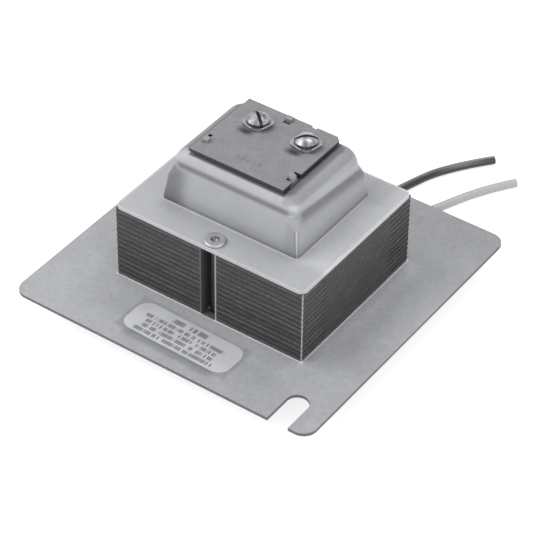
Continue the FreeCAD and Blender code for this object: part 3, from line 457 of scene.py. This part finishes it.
def bright_metal(name, level, roughness, places, radius, middle_shade):
    """Plated steel, with painted shade in the middle of each piece: a rivet's dimple, a washer's face beneath
    a screw.
    """
    kit = Nodes(name)
    fine = kit.noise(1.6, 3, 0.6)
    patch = kit.noise(0.35, 2, 0.5)
    tone = kit.varied(level, patch, 0.3, 0.7, 0.85, 1.1)
    tone = kit.patched(tone, *((kit.round_mask(place, radius), middle_shade) for place in places))
    # Painted shade below the core's top, where a rivet's shank sits in the notch.
    shade_below_bell = kit.remap(kit.z, CORE_TOP + 0.1, CORE_TOP - 0.1)
    tone = kit.patched(tone, (shade_below_bell, 0.12))
    kit.set(base_color=kit.shade(tone, STEEL_TINT), metallic=0.85)
    kit.set(roughness=kit.remap(fine, 0.3, 0.7, roughness - 0.07, roughness + 0.1))
    kit.set(normal=kit.bump(fine, 0.2, 0.02))
    return kit.material


def screw_steel(side):
    """A bright screw with painted shade under its head and in its slot."""
    kit = Nodes(f"screw_steel_{side}")
    fine = kit.noise(1.5, 3, 0.6)
    patch = kit.noise(0.42, 3, 0.6)
    tone = kit.varied(SCREW_LEVEL, patch, 0.32, 0.68, 0.4, 1.25)
    x, y = SCREW_PLACES[side]
    turn = math.radians(SCREW_TURNS[side])
    beside = kit.total(kit.product(kit.minus(kit.x, x), -math.sin(turn)),
                       kit.product(kit.minus(kit.y, y), math.cos(turn)))
    # Painted shade in the slot and under the head.
    slot = kit.product(kit.within(beside, 0.0, SLOT_HALF, 0.04), kit.remap(kit.z, 49.95, 49.7))
    tone = kit.patched(tone, (kit.remap(kit.z, 48.9, 48.3), 0.5), (slot, 0.25))
    kit.set(base_color=kit.shade(tone, STEEL_TINT), metallic=0.85)
    kit.set(roughness=kit.mixed(slot, kit.remap(fine, 0.3, 0.7, 0.22, 0.38), 0.8))
    kit.set(normal=kit.bump(fine, 0.2, 0.02))
    return kit.material


# Rows of print on the label, as plain bars: the y of the row's middle, the x of its left and right end, and
# half its height, in millimetres. The shift gives each row bars of its own.
PRINT_ROWS = [(-36.4, -6.3, 6.3, 0.95), (-38.9, -14.5, 14.3, 0.72), (-41.0, -13.0, 12.8, 0.72),
              (-43.1, -12.7, 12.8, 0.72), (-45.2, -14.4, 14.2, 0.72)]
BAR_PITCH = 0.62
ROW_SHIFT = 57.3


def label_foil():
    """Pale foil, with rows of short grey bars where such a label has its print."""
    kit = Nodes("label_foil")
    fine = kit.noise(1.4, 3, 0.6)
    cloud = kit.noise(0.18, 3, 0.5)
    tone = kit.varied(LABEL_LEVEL, cloud, 0.3, 0.7, 0.95, 1.05)
    upright = kit.up_label()
    for row, (middle, left, right, half) in enumerate(PRINT_ROWS):
        inside = kit.product(kit.within(upright, middle, half, 0.25),
                             kit.within(kit.x, (left + right) / 2, (right - left) / 2, 0.3))
        cells = kit.total(kit.math("DIVIDE", kit.x, BAR_PITCH), row * ROW_SHIFT)
        bar = kit.within(kit.math("FRACT", cells), 0.5, 0.36, 0.1)
        ink = kit.remap(kit.chance(kit.math("FLOOR", cells)), 0.1, 0.7)
        tone = kit.patched(tone, (kit.product(inside, bar, kit.math("POWER", ink, 0.35)), 0.22))
    kit.set(base_color=kit.shade(tone, STEEL_TINT), roughness=0.55)
    kit.set(normal=kit.bump(fine, 0.2, 0.03))
    return kit.material


# The faint marks on the board's front half.
MARK_COUNT = 5
MARK_LEFT = -2.6
MARK_PITCH = 1.9
MARK_Y = -9.5


def board_fibre():
    """Laminated board: faint weave and cloudy patches, a painted shadow before each screw, and cut edges
    painted nearly black as shade.
    """
    kit = Nodes("board_fibre")
    weave = kit.noise(1, 3, 0.6, kit.stretched(0.9, 2.6, 0.9))
    cloud = kit.noise(0.22, 4, 0.6)
    grain = kit.noise(1.8, 3, 0.7)
    tone = kit.varied(BOARD_LEVEL, cloud, 0.3, 0.7, 0.93, 1.07)
    tone = kit.varied(tone, weave, 0.3, 0.7, 1.05, 0.93)
    tone = kit.varied(tone, grain, 0.25, 0.75, 0.9, 1.1)
    # A painted shadow before each screw.
    for x, y in SCREW_PLACES.values():
        screw_shadow = kit.product(kit.hump(kit.x, x - 0.9, 2.7), kit.hump(kit.y, y - 5.5, 1.3))
        tone = kit.patched(tone, (screw_shadow, 0.2))
    for step in range(MARK_COUNT):
        mark = kit.product(kit.within(kit.x, MARK_LEFT + MARK_PITCH * step, 0.5, 0.25),
                           kit.within(kit.y, MARK_Y, 0.9, 0.3))
        tone = kit.patched(tone, (mark, 0.82))
    # A painted highlight along the front edge, and painted shade on the cut edges, nearly black.
    rim_highlight = kit.product(kit.remap(kit.y, BOARD_FRONT + 0.4, BOARD_FRONT + 0.15), kit.remap(kit.x, 0.0, 9.0))
    tone = kit.patched(tone, (rim_highlight, 1.3))
    shaded_edge = kit.remap(kit.facing[2], 0.8, 0.5)
    tone = kit.mixed(shaded_edge, tone, 0.02)
    kit.set(base_color=kit.shade(tone, STEEL_TINT), roughness=0.6)
    kit.set(normal=kit.bump(weave, 0.3, 0.04))
    return kit.material


def smooth_skin(name, colour, roughness):
    kit = Nodes(name)
    fine = kit.noise(2.5, 2, 0.6)
    kit.set(base_color=kit.shade(kit.remap(fine, 0.3, 0.7, 0.88, 1.1), colour), roughness=roughness)
    kit.set(normal=kit.bump(fine, 0.15, 0.02))
    return kit.material


def black_skin():
    """Black insulation, with a painted grey sheen along its top and a painted glint near its end."""
    kit = Nodes("black_insulation")
    # A painted grey sheen along the top of the lead, broken into patches, and a painted glint near its end.
    sheen_patches = kit.noise(1, 2, 0.5, kit.stretched(0.07, 0.07, 0.2))
    upper_sheen = kit.varied(kit.remap(kit.turned_to(-0.5, 0.2, 0.84), 0.5, 1.0), sheen_patches, 0.35, 0.65, 0.4, 1.0)
    glint = kit.product(kit.remap(kit.turned_to(0.5, -0.38, 0.78), 0.86, 0.99), kit.hump(kit.y, 84.5, 5.5))
    tone = kit.total(0.026, kit.product(upper_sheen, 0.3), kit.product(glint, 0.13))
    kit.set(base_color=kit.shade(tone), roughness=0.3)
    return kit.material


def wound(name, colour, pitch):
    """Fine round turns that lie across the coil's axis."""
    kit = Nodes(name)
    phase = kit.math("FRACT", kit.math("DIVIDE", kit.y, pitch))
    turn = kit.hump(phase, 0.5, 0.4)
    patch = kit.noise(0.5, 3, 0.6)
    kit.set(base_color=kit.shade(kit.remap(patch, 0.3, 0.7, 0.75, 1.2), colour))
    kit.set(metallic=0.4, roughness=0.35, normal=kit.bump(turn, 0.8, pitch / 2))
    return kit.material


CORE = core_steel()
RIVET = bright_metal("rivet_steel", RIVET_LEVEL, 0.4, RIVET_PLACES, RIVET_DIMPLE, 0.45)
WASHER = bright_metal("washer_steel", WASHER_LEVEL, 0.36, SCREW_PLACES.values(), WASHER_MIDDLE, 0.75)
BRASS = smooth_skin("strap_brass", (0.46, 0.34, 0.12), 0.35)
PAPER = smooth_skin("coil_paper", (0.2, 0.14, 0.08), 0.6)
WIRE = wound("coil_wire", (0.27, 0.1, 0.04), 0.5)
SLEEVE = smooth_skin("sleeve_plastic", (0.35, 0.31, 0.21), 0.5)
INSULATION = {"black": black_skin(), "white": smooth_skin("white_insulation", (0.5, 0.5, 0.5), 0.45)}

FINISHES = {
    "mounting_plate": plate_steel(), "nameplate": label_foil(), "top_bell": bell_steel(),
    "terminal_board": board_fibre(), "core_rivet_front": RIVET, "core_rivet_rear": RIVET,
    "coil_tube": PAPER, "interwinding_insulation": PAPER, "coil_wrap": PAPER,
    "secondary_winding": WIRE, "primary_winding": WIRE,
    "i_laminations_front": CORE, "i_laminations_rear": CORE,
}
for name in E_LAYERS:
    FINISHES[name] = CORE
for side in SIDES:
    FINISHES[f"terminal_screw_{side}"] = screw_steel(side)
    FINISHES[f"clamp_washer_{side}"] = WASHER
    FINISHES[f"terminal_strap_{side}"] = BRASS
    FINISHES[f"secondary_wire_{side}"] = WIRE
for colour, curve in leads.items():
    FINISHES[f"lead_sleeve_{colour}"] = SLEEVE
    FINISHES[f"lead_{colour}"] = INSULATION[colour]
    curve.data.materials.append(INSULATION[colour])
for name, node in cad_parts.items():
    for slot in node.material_slots:
        slot.material = FINISHES[name]

# Floor, world and lamps. Sizes and places are in metres, and a lamp's power in watts.
WHITE_LIGHT = (1, 1, 1, 1)
WORLD_STRENGTH = 0.52
FLOOR_HALF = 3
FLOOR_GAP = 0.00005
FLOOR_COLOUR = (0.85, 0.85, 0.85, 1)
FLOOR_GLOW = 0.7
LAMP_AIM = Vector((0, 0, 0.02))
LAMPS = {
    "left_lamp": {"place": (-0.5, -0.36, 0.7), "size": 0.8, "power": 4.6},
    "right_lamp": {"place": (1.0, -0.3, 0.28), "size": 0.7, "power": 2.6},
    "rear_lamp": {"place": (0.12, 0.45, 1.0), "size": 0.5, "power": 2.0},
}


def background_rays(tree):
    """1 for rays that see the background itself: from the camera, a reflection or through glass."""
    path = tree.nodes.new("ShaderNodeLightPath")
    total = path.outputs["Is Camera Ray"]
    for name in ("Is Glossy Ray", "Is Transmission Ray"):
        node = tree.nodes.new("ShaderNodeMath")
        node.operation = "MAXIMUM"
        tree.links.new(total, node.inputs[0])
        tree.links.new(path.outputs[name], node.inputs[1])
        total = node.outputs[0]
    return total


def make_world():
    """Soft light from all round, and plain white for the rays that see the background."""
    world = bpy.data.worlds.new("world")
    bpy.context.scene.world = world
    world.use_nodes = True
    tree = world.node_tree
    light = tree.nodes["Background"]
    light.inputs["Color"].default_value = WHITE_LIGHT
    light.inputs["Strength"].default_value = WORLD_STRENGTH
    white = tree.nodes.new("ShaderNodeBackground")
    white.inputs["Color"].default_value = WHITE_LIGHT
    white.inputs["Strength"].default_value = 1.0
    mix = tree.nodes.new("ShaderNodeMixShader")
    tree.links.new(background_rays(tree), mix.inputs["Fac"])
    tree.links.new(light.outputs["Background"], mix.inputs[1])
    tree.links.new(white.outputs["Background"], mix.inputs[2])
    tree.links.new(mix.outputs["Shader"], tree.nodes["World Output"].inputs["Surface"])


def floor_white():
    """Matt white with a glow that only the background rays see."""
    material = bpy.data.materials.new("floor_white")
    material.use_nodes = True
    tree = material.node_tree
    shader = tree.nodes["Principled BSDF"]
    shader.inputs["Base Color"].default_value = FLOOR_COLOUR
    shader.inputs["Roughness"].default_value = 0.9
    shader.inputs["Specular IOR Level"].default_value = 0.1
    glow = tree.nodes.new("ShaderNodeEmission")
    glow.inputs["Color"].default_value = WHITE_LIGHT
    strength = tree.nodes.new("ShaderNodeMath")
    strength.operation = "MULTIPLY"
    tree.links.new(background_rays(tree), strength.inputs[0])
    strength.inputs[1].default_value = FLOOR_GLOW
    tree.links.new(strength.outputs[0], glow.inputs["Strength"])
    both = tree.nodes.new("ShaderNodeAddShader")
    tree.links.new(shader.outputs["BSDF"], both.inputs[0])
    tree.links.new(glow.outputs["Emission"], both.inputs[1])
    tree.links.new(both.outputs["Shader"], tree.nodes["Material Output"].inputs["Surface"])
    return material


def make_floor():
    mesh = bpy.data.meshes.new("floor")
    corners = [(x * FLOOR_HALF, y * FLOOR_HALF, 0) for x, y in ((-1, -1), (1, -1), (1, 1), (-1, 1))]
    mesh.from_pydata(corners, [], [(0, 1, 2, 3)])
    mesh.materials.append(floor_white())
    floor = bpy.data.objects.new("floor", mesh)
    floor.location.z = FLOOR * MM - FLOOR_GAP
    bpy.context.scene.collection.objects.link(floor)


def soft_lamp(name, place, size, power):
    data = bpy.data.lights.new(name, "AREA")
    data.shape = "DISK"
    data.size = size
    data.energy = power
    lamp = bpy.data.objects.new(name, data)
    lamp.location = place
    lamp.rotation_euler = (Vector(place) - LAMP_AIM).to_track_quat("Z", "Y").to_euler()
    bpy.context.scene.collection.objects.link(lamp)


make_world()
make_floor()
for name, settings in LAMPS.items():
    soft_lamp(name, **settings)
